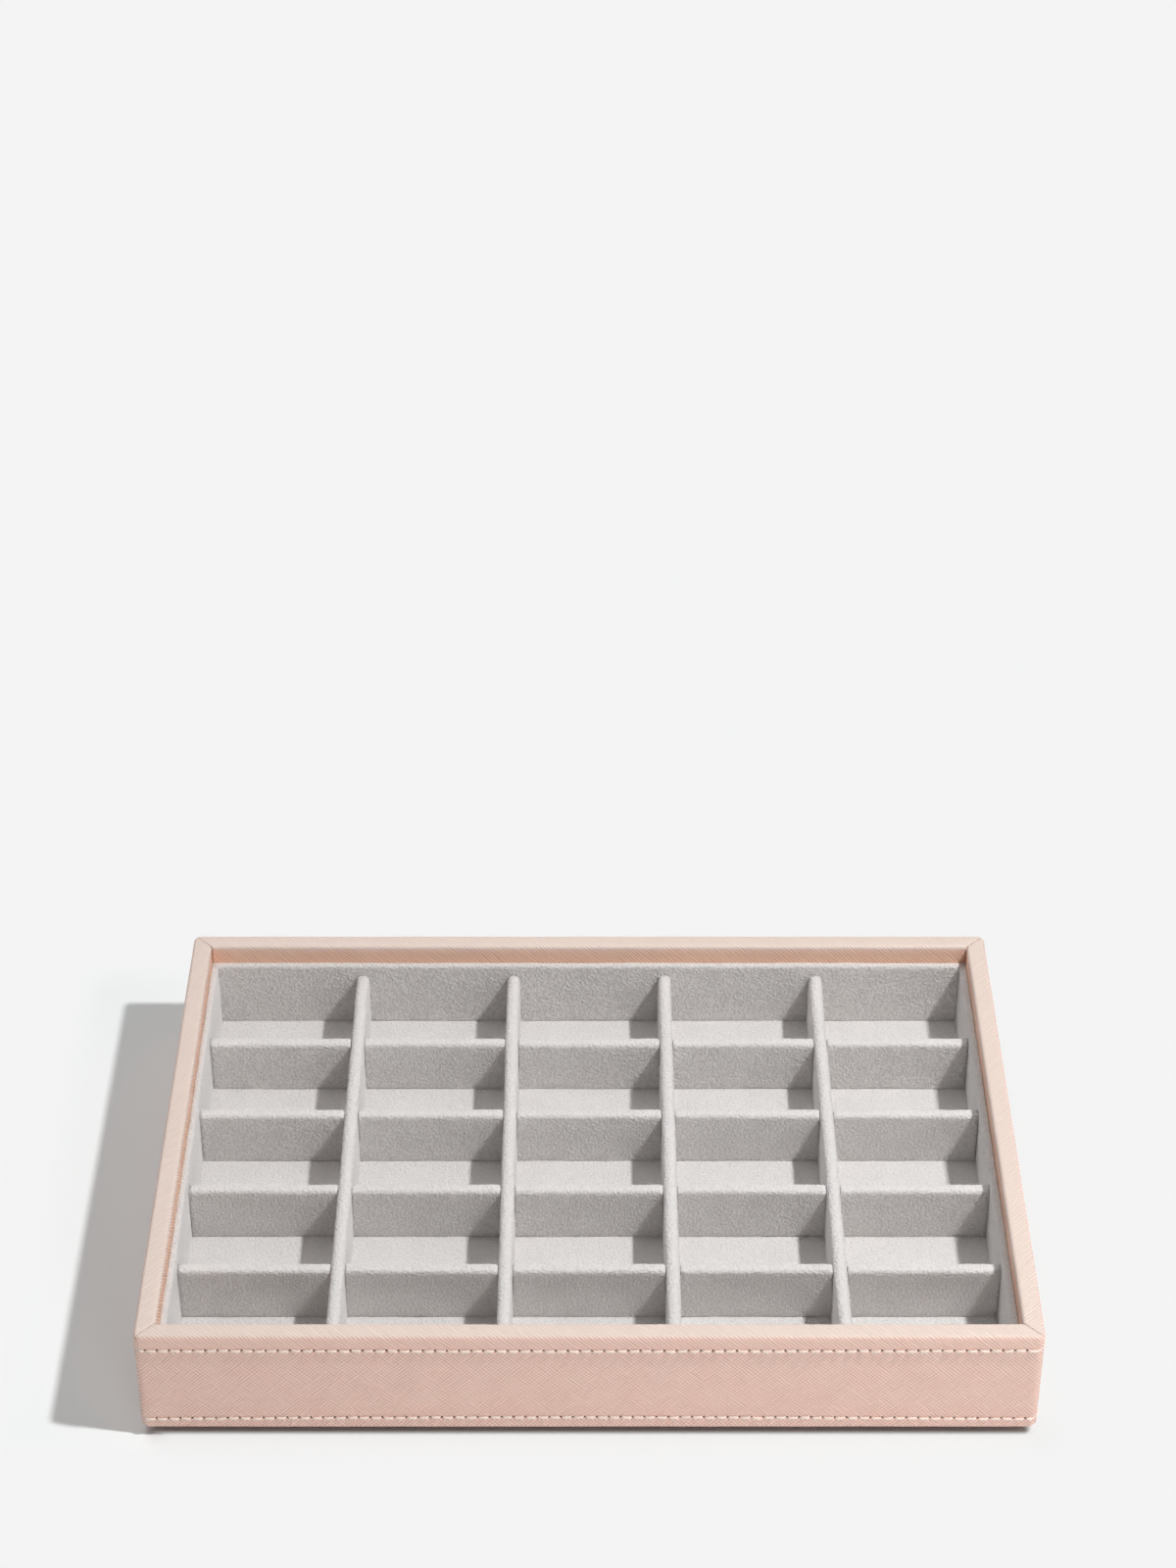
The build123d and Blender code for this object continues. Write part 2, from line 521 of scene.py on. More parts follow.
def leather_section(out):
    """The section of a wall's leather, with the wall's outer face at y = out."""
    pencil = Pencil(out + hem_width, base_bottom, heading=180)
    pencil.run(hem_width - hem_radius, 6)
    pencil.bend(hem_radius, 5)
    offsets = [sign * step for sign in (-1, 1) for step in (hole_height / 2, *valley_steps)]
    heights = [row + offset for row in row_heights.values() for offset in offsets]
    heights += evenly(row_heights["lower"] + between_rows, row_heights["upper"] - between_rows,
                      face_step)
    for height in sorted(heights):
        pencil.rise(height)
    pencil.rise(rim_top - rim_radius)
    pencil.bend(rim_radius, 7)
    pencil.run(wall_thickness - 2 * rim_radius, 3)
    pencil.bend(rim_radius, 7)
    pencil.run(rim_top - rim_radius - base_top, 10)
    bm = pencil.finish()
    for vertex in bm.verts:
        if vertex.co.y < out + hair:
            vertex.co.y += valley(vertex.co.z)
    return bm


section = leather_section(-half_depth)
print("points in the section of the front leather:", len(section.verts))
section.free()

# %% Stations along a side
station_step = 4 * MM
hole_clear = 0.7 * MM          # no other station lies closer


def leather_stations(side):
    """Places along a side where the section is repeated."""
    half = sides[side][0]
    flat = half - corner_radius
    around = [flat + corner_radius * math.sin(quarter * i / 16) for i in range(1, 11)]
    stations = around + [-station for station in around] + [half, -half]
    stations += evenly(-flat, flat, station_step)
    holes = [hole for row in row_heights for hole in hole_places(side, row)]
    clear = [s for s in stations if not any(abs(s - hole) < hole_clear for hole in holes)]
    clear += [hole + edge for hole in holes for edge in (-hole_width / 2, hole_width / 2)]
    return spaced(clear, hair)


print("stations along the front:", len(leather_stations("front")))

# %% Round the corners
corner_round = 2.0 * MM        # how round the wall's lower corners are
corner_fade = 4 * MM           # how far in from the face that rounding reaches
outermost = 0.999              # share of the radius


def round_corners(bm, half, out, start):
    """Push the outer layer in round the upright corners, and note each place on the hide."""
    place = bm.verts.layers.float_vector["sheet_place"]
    for vertex in bm.verts:
        depth = vertex.co.y - out
        past = abs(vertex.co.x) - (half - corner_radius)
        if past > 0 and depth < corner_radius:
            radius = corner_radius - depth
            reach = min(past, radius * outermost)
            vertex.co.y = out + corner_radius - math.sqrt(radius ** 2 - reach ** 2)
            arc = corner_radius * math.asin(min(1.0, past / corner_radius))
            along = math.copysign(half - corner_radius + arc, vertex.co.x)
            vertex[place].x = along
        vertex[place].x += start


def settle(bm, half, out):
    """Let the stitch rows stray, and round the lower corners off."""
    for vertex in bm.verts:
        depth = vertex.co.y - out
        if depth < corner_radius:
            vertex.co.z += stray(vertex.co.x, half, vertex.co.z)
        above = vertex.co.z - base_bottom
        past = (abs(vertex.co.x) - (half - corner_radius)) / corner_radius
        if past > 0 and above < corner_round:
            sink = corner_round - math.sqrt(corner_round ** 2 - (corner_round - max(0.0, above)) ** 2)
            sink *= min(1.0, past) ** 2 * max(0.0, 1 - depth / corner_fade) * math.sqrt(0.5)
            vertex.co.x -= math.copysign(sink, vertex.co.x)
            vertex.co.y += sink


print("upright corners are rounded to", round(corner_radius / MM, 1), "mm")

# %% Mitre the ends
seam_width = 0.45 * MM
seam_depth = 0.18 * MM
seam_shade = 0.16              # how dark the leather looks in a seam, from 0 to 1
skin = 0.3 * hide_thickness    # the leather's good side is no further in than this
cut_tolerance = 1e-7


def cut_mitres(bm, half, out):
    """Cut both ends at 45 degrees and close them, with two rows of points beside each seam."""
    for end in (-1, 1):
        outwards = Vector((end, 1, 0)).normalized()
        corner = Vector((end * half, out, 0))
        for inset in (2 * seam_width, seam_width, 0):
            everything = bm.verts[:] + bm.edges[:] + bm.faces[:]
            bmesh.ops.bisect_plane(bm, geom=everything, plane_co=corner - outwards * inset,
                                   plane_no=outwards, clear_outer=inset == 0,
                                   dist=cut_tolerance)
        rims = [edge for edge in bm.edges if edge.is_boundary]
        bmesh.ops.edgeloop_fill(bm, edges=rims)


def dip_seams(bm, half, out):
    """Sink the leather's good side beside the mitres on the rim, inside and under the base."""
    place = bm.verts.layers.float_vector["sheet_place"]
    for vertex in bm.verts:
        to_seam = half - abs(vertex.co.x) - (vertex.co.y - out)
        if to_seam < hair and vertex.co.y - out > corner_radius * 0.4:
            facing = leather_facing(vertex, out)
            if facing:
                vertex.co -= facing * seam_depth
                vertex[place].z = seam_shade


def leather_facing(vertex, out):
    """Which way the leather faces at a vertex of its good side, or None on its back."""
    depth = vertex.co.y - out
    if vertex.co.z > rim_top - skin:
        return Vector((0, 0, 1))
    if depth > wall_thickness - skin and vertex.co.z > base_top - hair:
        return Vector((0, 1, 0))
    if vertex.co.z < base_bottom + skin:
        return Vector((0, 0, -1))
    return None


print("seams dip by", round(seam_depth / MM, 2), "mm")


# %% Press the needle holes
def press_holes(bm, side, out):
    """Sink a small dark pit into the outer face at every needle hole."""
    wanted = {(round(hole / MM, 1), round(height / MM, 1))
              for row, height in row_heights.items() for hole in hole_places(side, row)}
    pits = []
    for face in bm.faces:
        centre = face.calc_center_median()
        if centre.y < out + 0.5 * hide_thickness:
            key = (round(centre.x / MM, 1), round(centre.z / MM, 1))
            if key in wanted and face.calc_area() < 1.1 * hole_width * hole_height:
                pits.append(face)
    place = bm.verts.layers.float_vector["sheet_place"]
    for share, inset, shade in ((0.2, 0.10, 0.7), (0.8, 0.06, 1.0)):
        bmesh.ops.inset_individual(bm, faces=pits, thickness=inset * MM,
                                   depth=-hole_depth * share)
        for vertex in {corner for pit in pits for corner in pit.verts}:
            vertex[place].z = shade
    return len(pits)


print("needle holes are", round(hole_width / MM, 2), "mm wide")


# %% Make the four covers
def leather_cover(side):
    half, reach, quarters = sides[side]
    out = -reach
    bm = sweep(leather_section(out), leather_stations(side))
    round_corners(bm, half, out, perimeter_start(side))
    thicken(bm, hide_thickness, towards=(0, -1, 0))
    cut_mitres(bm, half, out)
    dip_seams(bm, half, out)
    pits = press_holes(bm, side, out)
    settle(bm, half, out)
    turn(bm, quarters)
    soften(bm, amount=0.05 * MM, size=18 * MM, seed=1)
    cover = piece(f"{side}_leather_cover", bm, pink_leather, "pink_leather", f"{side}_leather")
    print(cover.name, "faces", made_faces[cover.name], "needle holes", pits)


for side in sides:
    leather_cover(side)

# %% [markdown]
# ## Stitches
#
# Each stitch is one short loop of cream thread. It comes up out of a needle hole, lies on the
# leather and dives into the next hole. Each is drawn as a tube with six sides whose ends bend
# inwards, with small random differences in slant, height and pull, and the last one of a row goes
# round the corner. A plain row of capsules would be quicker, but real thread never lies that evenly.

# %% Thread finish
thread_pale = (1.000, 0.880, 0.795, 1)
thread_warm = (0.985, 0.805, 0.710, 1)
twist_spacing = 0.55 * MM


def thread_finish():
    thread = Finish("cream_thread", roughness=0.6, sheen_weight=0.45, sheen_roughness=0.5)
    along, angle, chance = thread.split(thread.attribute("thread_place"))
    twist = ((along / twist_spacing + angle) * full_wave).math("SINE") * 0.5 + 0.5
    tone = twist * 0.35 + chance * 0.35 + 0.3
    thread.colour(thread.mix(tone, thread_warm, thread_pale))
    thread.bump(twist, 0.06 * MM)
    return thread.material


cream_thread = thread_finish()
print("finish:", cream_thread.name)

# %% One stitch, as a bent tube
thread_radius = 0.38 * MM
thread_sides = 6
thread_end = 0.20 * MM         # from the middle of a needle hole to the end of a stitch
thread_dive = 0.50 * MM        # length over which a stitch dives into its hole
thread_thin = 0.40             # how much thinner a stitch is at its ends
dive_depth = 0.75 * MM
dive_rise = 0.08 * MM


def stitch_tube(bm, length, steps, chance):
    """A tube along X whose ends dive into the leather. Returns its vertices."""
    place = bm.verts.layers.float_vector["thread_place"]
    first = bmesh.ops.create_circle(bm, segments=thread_sides, radius=1.0, cap_ends=True)["verts"]
    bmesh.ops.rotate(bm, cent=(0, 0, 0), matrix=Matrix.Rotation(quarter, 3, "Y"), verts=first)
    diving = [0, 0.4 * thread_dive, 0.75 * thread_dive]
    rings = diving + evenly(thread_dive, length - thread_dive, length / steps)
    rings += [length - ring for ring in reversed(diving)]
    loop = first
    everything = list(first)
    previous = 0.0
    for number, ring in enumerate(rings):
        if number > 0:
            edges = list({e for v in loop for e in v.link_edges if e.other_vert(v) in loop})
            made = bmesh.ops.extrude_edge_only(bm, edges=edges)["geom"]
            loop = [g for g in made if isinstance(g, bmesh.types.BMVert)]
            everything += loop
        bmesh.ops.translate(bm, vec=(ring - previous, 0, 0), verts=loop)
        previous = ring
    bmesh.ops.contextual_create(bm, geom=loop)
    for vertex in everything:
        ring = vertex.co.x
        from_end = min(ring, length - ring)
        sunk = max(0.0, 1 - from_end / thread_dive) ** 1.4
        size = thread_radius * (1 - thread_thin * sunk)
        angle = math.atan2(vertex.co.z, vertex.co.y)
        vertex[place] = (ring, angle / full_wave, chance)
        vertex.co.y = vertex.co.y * size + sunk * dive_depth
        vertex.co.z = vertex.co.z * size + sunk * dive_rise
    return everything


print("thread is", round(2 * thread_radius / MM, 2), "mm thick")

# %% A row of stitches, with one round each corner
corner_pull = 0.60 * MM        # how far a stitch is pulled in half-way round a corner
thread_bedding = 0.95          # share of its radius by which thread stands off the leather
row_sink = 0.10 * MM           # how far the threads lie below the middle of their holes


def bend_round_corner(vertex, half, out):
    """Wrap what lies past the end of a side round its upright corner."""
    past = vertex.co.x - (half - corner_radius)
    if past <= 0:
        return
    angle = min(past / corner_radius, quarter)
    vertex.co.y += corner_pull * math.sin(2 * angle)
    radius = corner_radius - (vertex.co.y - out)
    beyond = max(0.0, past - corner_radius * quarter)
    vertex.co.x = half - corner_radius + radius * math.sin(angle)
    vertex.co.y = out + corner_radius - radius * math.cos(angle) + beyond


def stitch_row(side, row):
    half, reach, quarters = sides[side]
    out = -reach
    following = list(sides)[(quarters + 1) % 4]
    gap_after = hole_places(following, row)[0] + sides[following][0] - corner_radius
    corner_end = half - corner_radius + corner_radius * quarter + gap_after
    chance = random.Random(f"{side} {row}")
    bm = bmesh.new()
    bm.verts.layers.float_vector.new("thread_place")
    holes = hole_places(side, row) + [corner_end]
    for start, end in zip(holes, holes[1:]):
        length = end - start - 2 * thread_end
        steps = 3 if length < 1.5 * stitch_pitch else 8
        verts = stitch_tube(bm, length, steps, chance.random())
        slant = chance.gauss(0.070 + 0.040 * start / half, 0.045) if steps == 3 else 0.0
        lift = chance.gauss(0, 0.04) * MM
        pull = chance.gauss(0, 0.03) * MM
        sag = chance.uniform(0.0, 0.14) * MM
        middle = length / 2
        for vertex in verts:
            along = vertex.co.x - middle
            vertex.co.z += along * slant + lift - sag * (1 - (along / middle) ** 2)
            vertex.co.y += pull
        low = out + valley_depth - thread_radius * thread_bedding
        below = row_heights[row] - row_sink
        bmesh.ops.translate(bm, vec=(start + thread_end, low, below), verts=verts)
    for vertex in bm.verts:
        vertex.co.z += stray(vertex.co.x, half, row_heights[row])
        bend_round_corner(vertex, half, out)
    bmesh.ops.recalc_face_normals(bm, faces=bm.faces[:])
    turn(bm, quarters)
    name = f"{side}_{row}_stitches"
    return piece(name, bm, cream_thread, "cream_thread", f"{side}_{row}_stitching")


stitch_rows = [stitch_row(side, row) for side in sides for row in row_heights]
print("stitch rows:", len(stitch_rows), "faces in the first:", made_faces[stitch_rows[0].name])

# %% [markdown]
# ## Velvet
#
# Velvet is cut pile: it has no shine of its own, but its fibres catch light at their tips, so
# edges that turn away look a little brighter. A high roughness with some sheen gives that. Fine
# noise stands for the fibres, and broad faint blotches for places where the pile leans. The
# upright faces that look to the front or the back are painted a shade darker, as painted shade
# for how dim the pile looks seen face-on.

# %% Velvet finish
velvet_pale = (0.845, 0.820, 0.806, 1)
velvet_deep = (0.765, 0.740, 0.727, 1)
# painted shade for upright faces that look to the front or the back
face_on_shade = (0.850, 0.845, 0.845, 1)


def velvet_finish():
    velvet = Finish("grey_velvet", roughness=1.0, sheen_weight=0.45, sheen_roughness=0.5,
                    specular_ior_level=0.1)
    place = velvet.place()
    fibres = velvet.noise(place, 0.75 * MM, detail=1.0)
    leaning = velvet.noise(place, 9 * MM, detail=2.0)
    tone = velvet.ramp(fibres * 0.8 + leaning * 0.2, 0.30, 0.66)
    across = velvet.split(velvet.add("ShaderNodeTexCoord", output="Normal"))[1]
    cloth = velvet.mix(tone, velvet_deep, velvet_pale)
    # painted shade: the more a face looks to the front or back, the darker it is tinted
    velvet.colour(velvet.tint(across * across * (1.4 - tone * 0.9), cloth, face_on_shade))
    velvet.bump(fibres, 0.60 * MM)
    return velvet.material


grey_velvet = velvet_finish()
print("finish:", grey_velvet.name)

# %% [markdown]
# ## Linings and floor
#
# A lining is a card wrapped in velvet that stands against each wall. Only its face and its round
# top edge show, so its section is a short run, one bend and a long run down to the floor. The
# floor is a single sheet, laid flat, with faint hollows where the glue took unevenly.

# %% Line the four walls
cloth_step = 1.1 * MM
groove_radius = 0.45 * MM      # where the lining's top edge meets the leather


def lining_cloth(side):
    low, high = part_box(f"{side}_lining_velvet")
    half_run = (high - low).x / 2 if side in ("front", "back") else (high - low).y / 2
    _, reach, quarters = sides[side]
    wall_face = wall_thickness - reach
    thick = min((high - low).x, (high - low).y)
    pencil = Pencil(wall_face, high.z - 2 * groove_radius, heading=90)
    pencil.run(groove_radius)
    pencil.bend(groove_radius, 4)
    pencil.run(thick - lining_edge_radius - groove_radius, 2)
    pencil.bend(lining_edge_radius, 6)
    pencil.run(high.z - lining_edge_radius - low.z - foot_tuck, 14)
    pencil.bend(foot_tuck, 3)
    bm = sweep(pencil.finish(), evenly(-half_run, half_run, cloth_step))
    thicken(bm, velvet_thickness, towards=(0, 1, 0))
    turn(bm, quarters)
    soften(bm, amount=0.07 * MM, size=5 * MM, seed=2)
    soften(bm, amount=0.10 * MM, size=26 * MM, seed=3)
    cloth = piece(f"{side}_lining_cloth", bm, grey_velvet, "grey_velvet", f"{side}_lining_velvet")


for side in sides:
    lining_cloth(side)

# %% Lay the floor
floor_step = 1.59 * MM
hollow_size = 9 * MM
hollow_depth = 0.05 * MM
floor_sink = 0.04 * MM         # keeps the highest spots below the solid's top


def floor_cloth():
    low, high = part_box("floor_velvet")
    size = high - low
    bm = bmesh.new()
    bmesh.ops.create_grid(bm, x_segments=round(size.x / floor_step),
                          y_segments=round(size.y / floor_step), size=0.5)
    bmesh.ops.scale(bm, vec=(size.x, size.y, 1), verts=bm.verts[:])
    bmesh.ops.translate(bm, vec=(0, 0, high.z), verts=bm.verts[:])
    for vertex in bm.verts:
        vertex.co.z += hollow_depth * noise.noise(vertex.co / hollow_size) - floor_sink
    thicken(bm, size.z, towards=(0, 0, 1))
    cloth = piece("floor_cloth", bm, grey_velvet, "grey_velvet", "floor_velvet")
    return cloth


floor = floor_cloth()
print(floor.name, "faces", made_faces[floor.name])

# %% [markdown]
# ## Dividers
#
# The dividers are strips of card with a velvet sleeve folded over them. Long and cross strips
# are slotted halfway and slide into each other like the dividers of an egg crate: the long ones
# run on over the top, and the cross ones show in short lengths between them. Where a slot is
# cut, the pile springs back, so the ends of those lengths are rounded off.

# %% Slots and their rounded ends
slot_clearance = 0.1 * MM      # on each side
long_low, long_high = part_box("long_divider_1_velvet")
slot_half = (long_high.x - long_low.x) / 2 + slot_clearance
cross_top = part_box("cross_divider_1_velvet")[1].z
lap_height = floor_top + (cross_top - floor_top) / 2


def divider_middles(kind):
    """Where the dividers of one kind stand: X for the long ones and Y for the cross ones."""
    axis = 0 if kind == "long" else 1
    boxes = [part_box(name) for name in sorted(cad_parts)
             if name.startswith(f"{kind}_divider") and name.endswith("velvet")]
    return sorted((low[axis] + high[axis]) / 2 for low, high in boxes)


print("slots are", round(2 * slot_half / MM, 2), "mm wide and meet at", round(lap_height / MM, 2))

# %% Cut and round the cloth at the slots
end_rounding = 0.9 * MM
end_clear = 0.4 * MM           # no other station lies closer
end_reach = 4 * MM             # how far down from the top the cloth is drawn in
end_drop = 0.8                 # share of the rounding by which it is drawn down
end_draw = 0.18                # share of its thickness by which it is drawn in


def divider_stations(half_run, crossings, step):
    """Stations along a divider, closer together beside every slot."""
    stations = evenly(-half_run, half_run, step)
    clear = [s for s in stations if not any(
        abs(s - c) < slot_half + end_rounding + end_clear for c in crossings)]
    for crossing in crossings:
        for i in range(6):
            away = slot_half + end_rounding * (1 - math.cos(quarter * i / 5))
            clear += [crossing - away, crossing + away]
        clear.append(crossing)
    return spaced(clear, hair)


def cut_slots(bm, crossings, from_top):
    """Remove the cloth inside the half-lap slots."""
    doomed = []
    for face in bm.faces:
        centre = face.calc_center_median()
        inside = any(abs(centre.x - crossing) < slot_half for crossing in crossings)
        if inside and (centre.z > lap_height) == from_top:
            doomed.append(face)
    bmesh.ops.delete(bm, geom=doomed, context="FACES")


def round_ends(bm, crossings, top):
    """Draw the cloth down and in beside each slot that is cut from the top."""
    for vertex in bm.verts:
        for crossing in crossings:
            from_slot = abs(vertex.co.x - crossing) - slot_half
            if -hair < from_slot < end_rounding and vertex.co.z > lap_height + hair:
                rise = 1 - min(1.0, max(0.0, from_slot) / end_rounding)
                drop = end_rounding * (1 - math.sqrt(1 - min(1.0, rise) ** 2))
                near_top = max(0.0, 1 - (top - vertex.co.z) / end_reach)
                vertex.co.z -= drop * end_drop * near_top
                vertex.co.y *= 1 - end_draw * drop / end_rounding


print("the cloth is rounded by", round(end_rounding / MM, 1), "mm beside each slot")

# %% Sleeves of the long and the cross dividers
low_steps = (3 * MM, 6 * MM)   # rows of points above the floor


def divider_sleeve(kind, number, middle):
    node = f"{kind}_divider_{number}_velvet"
    low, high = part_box(node)
    axis = 1 if kind == "long" else 0
    edge_radius = long_edge_radius if kind == "long" else cross_edge_radius
    crossings = divider_middles("cross" if kind == "long" else "long")
    half_run = (high[axis] - low[axis]) / 2
    half_thick = (high[1 - axis] - low[1 - axis]) / 2
    pencil = Pencil(foot_tuck - half_thick, low.z, heading=180)
    pencil.bend(foot_tuck, 3)
    for height in [low.z + step for step in low_steps] + [lap_height]:
        pencil.rise(height)
    pencil.run(high.z - edge_radius - lap_height, 4)
    pencil.bend(edge_radius, 6)
    pencil.run(2 * (half_thick - edge_radius), 2)
    pencil.bend(edge_radius, 6)
    pencil.run(high.z - edge_radius - lap_height, 4)
    for height in [low.z + step for step in reversed(low_steps)] + [low.z + foot_tuck]:
        pencil.rise(height)
    pencil.bend(foot_tuck, 3)
    bm = sweep(pencil.finish(), divider_stations(half_run, crossings, cloth_step))
    cut_slots(bm, crossings, from_top=kind == "cross")
    if kind == "cross":
        round_ends(bm, crossings, high.z)
    thicken(bm, velvet_thickness, towards=(0, 0, 1))
    if kind == "long":
        turn(bm, 1)
    across = Vector((middle, 0, 0)) if kind == "long" else Vector((0, middle, 0))
    bmesh.ops.translate(bm, vec=across, verts=bm.verts[:])
    soften(bm, amount=0.09 * MM, size=4 * MM, seed=4)
    soften(bm, amount=0.14 * MM, size=30 * MM, seed=5)
    sleeve = piece(f"{kind}_divider_{number}_sleeve", bm, grey_velvet, "grey_velvet", node)
    return sleeve


sleeves = [divider_sleeve(kind, number, middle) for kind in ("long", "cross")
           for number, middle in enumerate(divider_middles(kind), start=1)]
print("sleeves:", len(sleeves), "faces in one:", made_faces[sleeves[0].name])

# %% [markdown]
# ## Foot felt
#
# The tray stands on an inset foot, so that it drops into the rim of the tray below. A sheet of
# felt under the foot keeps it quiet. It starts as a block, and bevels give it the foot's round
# corners and a soft lower edge.

# %% Felt finish and foot felt
felt_pale = (0.170, 0.155, 0.150, 1)
felt_deep = (0.085, 0.078, 0.075, 1)
foot_corner = 2.0 * MM
foot_edge = 0.3 * MM


def felt_finish():
    felt = Finish("base_felt", roughness=1.0, sheen_weight=0.3, sheen_roughness=0.5,
                  specular_ior_level=0.1)
    place = felt.place()
    fibres = felt.noise(place, 0.7 * MM, detail=4.0, roughness=0.7)
    clumps = felt.noise(place, 5 * MM, detail=2.0)
    tone = felt.ramp(fibres * 0.7 + clumps * 0.3, 0.3, 0.7)
    felt.colour(felt.mix(tone, felt_deep, felt_pale))
    felt.bump(fibres, 0.25 * MM)
    return felt.material


def foot_felt():
    low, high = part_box("base_felt")
    size = high - low
    bm = bmesh.new()
    bmesh.ops.create_cube(bm, size=1.0)
    bmesh.ops.scale(bm, vec=size, verts=bm.verts[:])
    bmesh.ops.translate(bm, vec=(low + high) / 2, verts=bm.verts[:])
    upright = [e for e in bm.edges if abs(e.verts[0].co.z - e.verts[1].co.z) > size.z / 2]
    bmesh.ops.bevel(bm, geom=upright, offset=foot_corner, affect="EDGES", segments=8,
                    profile=0.5, material=-1)
    lower = [e for e in bm.edges if max(v.co.z for v in e.verts) < low.z + hair]
    bmesh.ops.bevel(bm, geom=lower, offset=foot_edge, affect="EDGES", segments=3,
                    profile=0.5, material=-1)
    felt = piece("foot_felt", bm, felt_finish(), "base_felt", "base_felt")
    return felt


foot = foot_felt()
print(foot.name, "faces", made_faces[foot.name])

# %% [markdown]
# ## Boards and cards
#
# The boards and cards under the cloth keep their measured solids and only get a finish. They
# hardly show, but a fibreboard edge and a grey card are quite different things up close: the
# board is speckled brown, and the card is laid down in faint grey layers.

# %% Board and card finishes
def board_finish(name, pale, deep):
    board = Finish(name, roughness=0.8, specular_ior_level=0.2)
    place = board.place()
    chips = board.noise(place, 0.9 * MM, detail=4.0, roughness=0.75)
    board.colour(board.mix(board.ramp(chips, 0.35, 0.65), deep, pale))
    board.bump(chips, 0.05 * MM)
    return board.material


def card_finish(name, pale, deep):
    card = Finish(name, roughness=0.9, specular_ior_level=0.15)
    layered = card.add("ShaderNodeMapping", values={
        "Vector": card.place(), "Scale": (1.0, 1.0, 3.0)})
    fibres = card.noise(layered, 1.2 * MM, detail=4.0, roughness=0.6)
    card.colour(card.mix(card.ramp(fibres, 0.35, 0.65), deep, pale))
    card.bump(fibres, 0.03 * MM)
    return card.material


fibreboard = board_finish("fibreboard", (0.48, 0.35, 0.24, 1), (0.33, 0.23, 0.15, 1))
plinth_paper = board_finish("plinth_paper", (0.13, 0.10, 0.09, 1), (0.08, 0.06, 0.055, 1))
greyboard = card_finish("greyboard", (0.40, 0.38, 0.36, 1), (0.30, 0.285, 0.27, 1))
print("finishes:", fibreboard.name, plinth_paper.name, greyboard.name)

# %% Give every solid that still shows its finish
for name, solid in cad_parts.items():
    if name in covered:
        continue
    finish = greyboard if name.endswith("card") else fibreboard
    if name == "plinth_board":
        finish = plinth_paper
    solid.data.materials.clear()
    solid.data.materials.append(finish)
print("solids kept:", len(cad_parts) - len(covered))

# %% [markdown]
# ## Stage, camera and light
#
# The tray stands on a plain white sweep. A small lamp to the right, in front and fairly close
# makes the shadows, which is why they get longer to the left. A large soft lamp behind gives the
# rim its pale shine, a low one in front lifts the front wall, and the sky does the rest. They leave
# pools on the floor, so the camera sees the floor's colour darker where more light falls, and only
# a faint trace of what the tray reflects onto it, except on the left, where its shadow lies. To
# the tray the floor stays plain white paper. A last soft lamp on the left lifts the shadows.

# %% Lamps
lamps = {                      # place, radius and power in watts
    "key_lamp": (Vector((0.432, -0.175, 0.810)), 0.025, 23.4),
    "back_lamp": (Vector((-0.350, 0.480, 0.680)), 0.280, 5.5),
    "front_lamp": (Vector((0.300, -0.920, 0.220)), 0.200, 5.3),
    "left_lamp": (Vector((-0.400, 0.050, 0.800)), 0.250, 2.6),
}


def round_lamp(name):
    place, radius, power = lamps[name]
    data = bpy.data.lights.new(name, "POINT")
    data.energy = power
    data.shadow_soft_size = radius
    lamp = add_object(name, data)
    lamp.location = place
    return lamp


lit = [round_lamp(name) for name in lamps]
print("lamps:", [(lamp.name, round(lamp.data.energy, 1)) for lamp in lit])

# %% Sky
sky_level = 0.15
sky_lean = 0.3                 # how much the sky gets brighter towards the back
floor_tone = 0.905             # how bright the lit floor looks, as a linear value


def white_sky():
    world = bpy.data.worlds.new("white_sky")
    world.use_nodes = True
    sky = Wiring(world.node_tree)
    towards = sky.split(sky.add("ShaderNodeTexCoord", output="Generated"))[1]
    plain = sky.tree.nodes["Background"]
    plain.inputs["Color"].default_value = (1, 1, 1, 1)
    sky.join(towards * (sky_level * sky_lean) + sky_level, plain.inputs["Strength"])
    seen = sky.add("ShaderNodeBackground",
                   values={"Color": (1, 1, 1, 1), "Strength": floor_tone})
    to_camera = sky.add("ShaderNodeLightPath", output="Is Camera Ray")
    surface = sky.add("ShaderNodeMixShader",
                      values=[to_camera, Value(sky, plain.outputs[0]), seen])
    sky.join(surface, sky.tree.nodes["World Output"].inputs["Surface"])
    bpy.context.scene.world = world


white_sky()
print("sky:", bpy.context.scene.world.name)

# %% Floor
floor_half = 4.0
paper_white = (0.98, 0.98, 0.98, 1)
# painted shadow: the floor under the tray is coloured darker by this share
under_tray_shade = 0.45              # how much darker the floor under the tray looks
sweep_start = 0.45             # from here on the floor is a self-lit sweep
sweep_full = 0.75
shadow_inner = (-112 * MM, -124 * MM)     # where the tray's shadow begins, beside it
shadow_outer = (-172 * MM, -155 * MM)
shadow_front = (-100 * MM, -90 * MM)
shadow_back = (128 * MM, 107 * MM)
halo_reach = 12 * MM
halo_share = 0.3               # how much of the tray's faint marks shows close to it
trace_share = 0.08             # and further away
shaded_red = 0.97              # takes the leather's glow out of the shadow


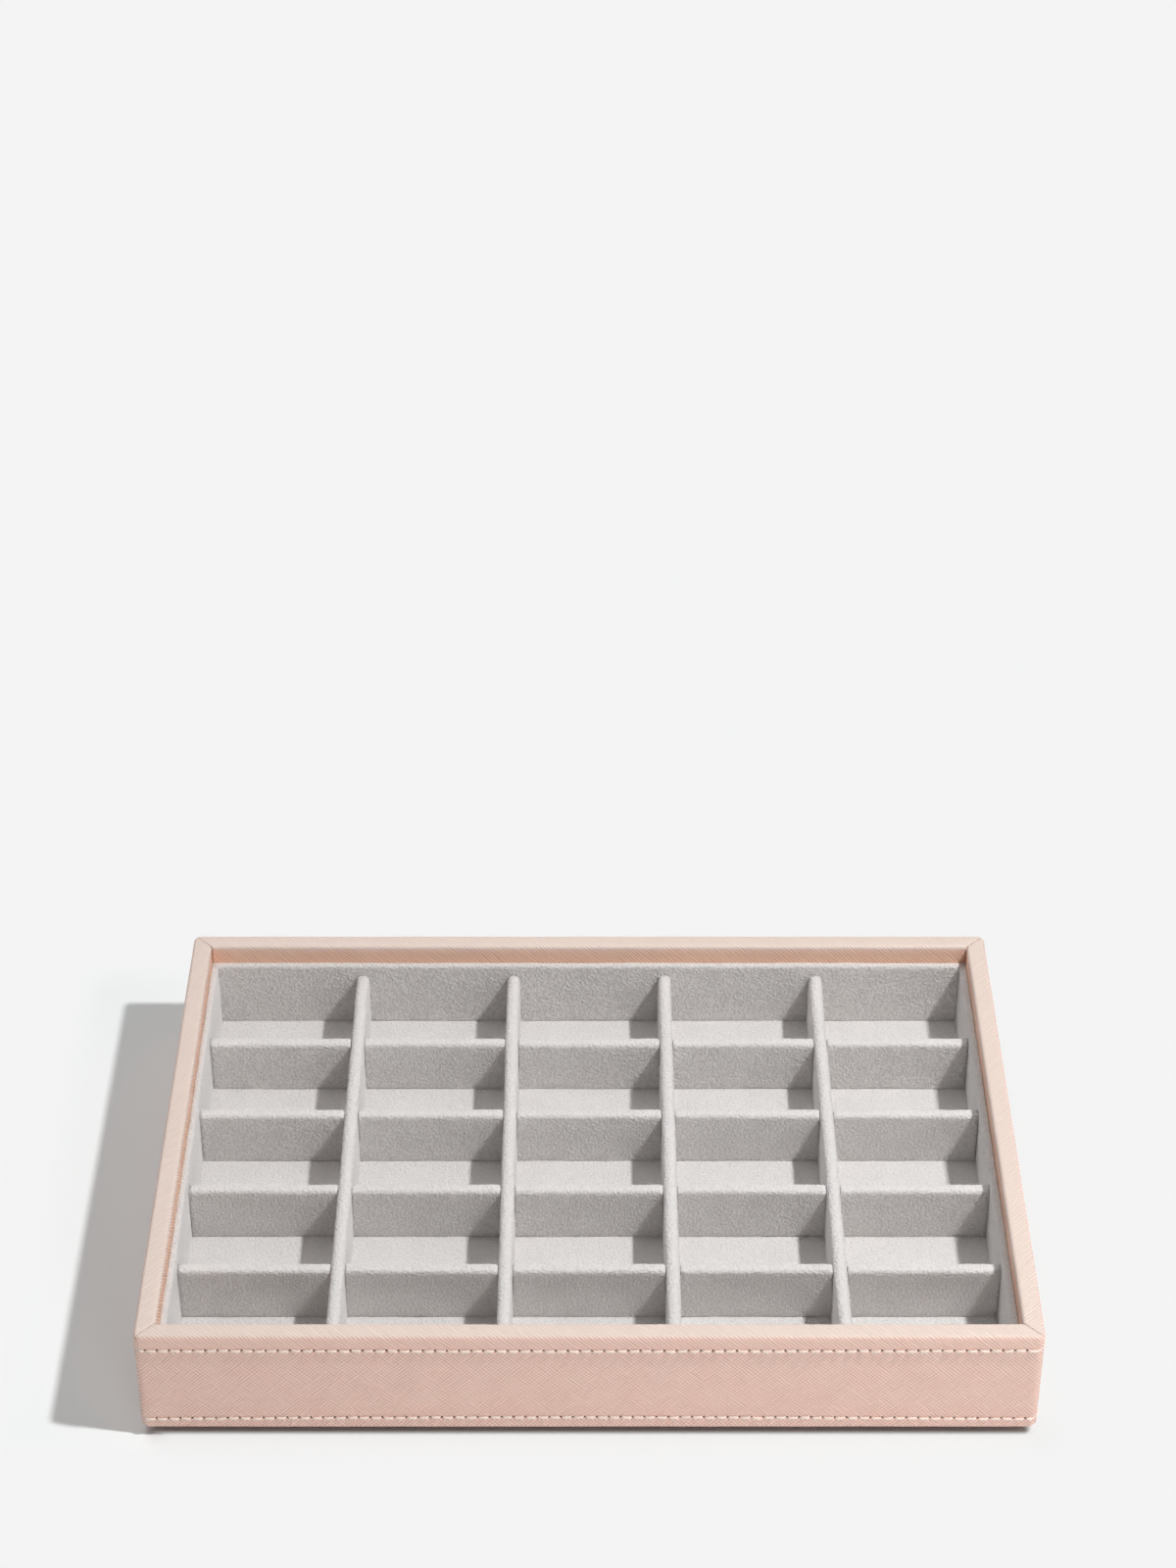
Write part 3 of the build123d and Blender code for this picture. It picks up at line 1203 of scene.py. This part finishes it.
def sweep_finish():
    white = Finish("white_floor")
    x, y, _ = white.split(white.place())
    light = sky_level
    for lamp_place, _, power in lamps.values():
        across = x - lamp_place.x
        ahead = y - lamp_place.y
        square = across * across + ahead * ahead + lamp_place.z ** 2
        light = power * lamp_place.z / (4 * math.pi ** 2) / square.math("POWER", 1.5) + light
    wide = x.math("ABSOLUTE")
    deep = y.math("ABSOLUTE")
    under = (white.ramp(wide, half_width, half_width - 3.5 * MM)
             * white.ramp(deep, half_depth + 1 * MM, half_depth - 2 * MM))
    beside = (white.ramp(x, *shadow_inner) * white.ramp(x, *shadow_outer)
              * white.ramp(y, *shadow_front) * white.ramp(y, *shadow_back))
    around = (white.ramp(wide, half_width + halo_reach, half_width)
              * white.ramp(deep, half_depth + halo_reach, half_depth))
    faint = around * halo_share + trace_share
    shaded = beside.math("MAXIMUM", faint).math("MAXIMUM", under)
    # painted shadow: the floor's colour is lowered under the tray
    level = floor_tone * (1.0 - under * (1.0 - under_tray_shade)) / light
    colour = white.add("ShaderNodeCombineXYZ", values=[level * shaded_red, level, level])
    even = white.add("ShaderNodeBsdfDiffuse", values={"Color": colour})
    glow = white.add("ShaderNodeEmission", values={"Strength": floor_tone})
    shown = white.add("ShaderNodeMixShader", values=[shaded, glow, even])
    paper = white.add("ShaderNodeBsdfDiffuse", values={"Color": paper_white})
    seen = white.add("ShaderNodeLightPath", output="Is Camera Ray")
    sheet = white.add("ShaderNodeMixShader", values=[seen, paper, shown])
    away = white.ramp((x * x + y * y).math("SQRT"), sweep_start, sweep_full)
    surface = white.add("ShaderNodeMixShader", values=[away, sheet, glow])
    output = white.tree.nodes["Material Output"]
    white.tree.nodes.remove(white.shader)
    white.join(surface, output.inputs["Surface"])
    return white.material


def studio_floor():
    bm = bmesh.new()
    bmesh.ops.create_grid(bm, x_segments=1, y_segments=1, size=floor_half)
    mesh = bpy.data.meshes.new("studio_floor")
    bm.to_mesh(mesh)
    bm.free()
    mesh.materials.append(sweep_finish())
    add_object("studio_floor", mesh)


studio_floor()
print("floor of", 2 * floor_half, "m")

# %% Camera
camera_place = (-0.00032, -0.75811, 0.69037)
camera_tilt = 54.98            # degrees up from looking straight down
camera_lens = 77.45            # millimetres, on a 36 mm sensor

camera_data = bpy.data.cameras.new("camera")
camera_data.lens = camera_lens
camera = add_object("camera", camera_data)
camera.location = camera_place
camera.rotation_euler = (math.radians(camera_tilt), 0, 0)
bpy.context.scene.camera = camera
bpy.context.scene.view_settings.view_transform = "Standard"
print("camera looks down at", round(90 - camera_tilt, 1), "degrees")

# %% [markdown]
# ## Count the pieces
#
# The number of dressed pieces and of all their faces is printed.

# %% Count the pieces and their faces
print("pieces:", len(made_faces), "faces:", sum(made_faces.values()))
